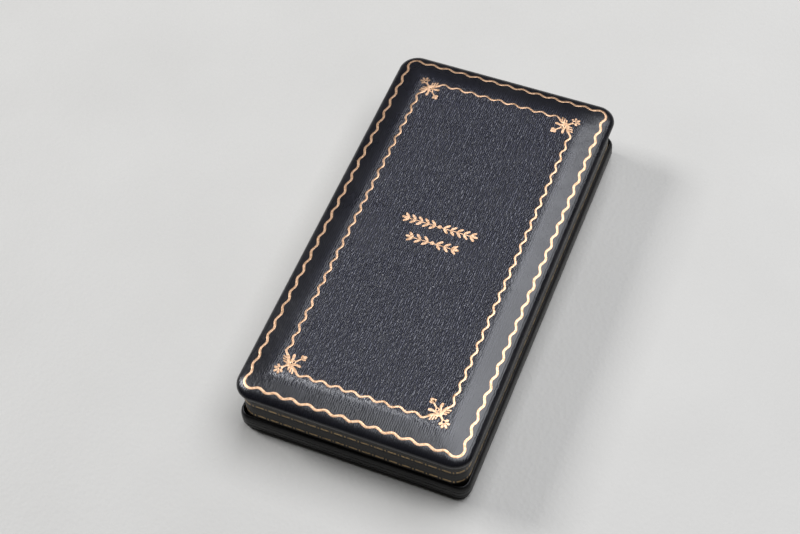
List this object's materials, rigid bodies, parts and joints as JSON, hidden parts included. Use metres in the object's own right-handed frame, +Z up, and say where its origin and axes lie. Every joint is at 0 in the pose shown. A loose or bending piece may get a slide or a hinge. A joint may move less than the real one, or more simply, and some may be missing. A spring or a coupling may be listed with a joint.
{
  "type": "cased service medal",
  "caption": "Long leatherette presentation case with a padded lid on a side hinge, holding a service medal on its ribbon, a ribbon bar and a lapel button in a velvet bed.",
  "frame": {"origin": "middle of the underside of the closed case", "axes": "+Z up out of the lid, +Y along the long side towards the brooch end, +X across, away from the hinge"},
  "size_m": [0.088, 0.165, 0.028],
  "materials": {
    "leatherette": "grained, semi-gloss near-black blue leatherette",
    "wall_cloth": "smooth glossy brown-black covering",
    "card": "plain grey-brown card",
    "brass": "pressed sheet brass, lacquered",
    "steel": "drawn and rolled spring steel",
    "velvet": "short pile velvet, old gold",
    "satin": "woven satin, cream",
    "bronze": "struck bronze, brown patina",
    "ribbon": "ribbed silk ribbon in blue, white and red",
    "enamel": "glossy enamel in blue, white and red"
  },
  "bodies": {
    "base": {"base_bottom_board": "leatherette", "base_hinge_leaf": "brass", "base_hinge_rivet_1": "brass", "base_hinge_rivet_2": "brass", "base_hinge_rivet_3": "brass", "base_plinth": "leatherette", "base_rim_frame": "brass", "base_wall": "wall_cloth", "bed_riser_left": "card", "bed_riser_right": "card", "brooch_pin_catch": "brass", "brooch_pin_hinge": "brass", "brooch_pin_stem": "steel", "brooch_plate": "brass", "drape_ribbon": "ribbon", "hinge_pin": "steel", "lapel_button_face": "enamel", "lapel_button_nut": "brass", "lapel_button_post": "brass", "medal_bed": "velvet", "medal_planchet": "bronze", "ribbon_bar_cloth": "ribbon", "ribbon_bar_pin_catch": "brass", "ribbon_bar_pin_hinge": "brass", "ribbon_bar_pin_stem": "steel", "ribbon_bar_plate": "brass", "snap_spring_lower": "steel", "snap_spring_upper": "steel", "suspension_loop": "bronze"},
    "lid": {"lid_board": "leatherette", "lid_hinge_leaf": "brass", "lid_hinge_rivet_1": "brass", "lid_hinge_rivet_2": "brass", "lid_hinge_rivet_3": "brass", "lid_lining_frame": "satin", "lid_lining_pad": "satin", "lid_wall": "wall_cloth"}
  },
  "joints": [
    {"name": "lid_hinge", "type": "hinge", "parent": "base", "child": "lid", "pos_m": [-0.0427, 0, 0.0162], "axis": [0, -1, 0], "range_deg": [0, 100]}
  ]
}
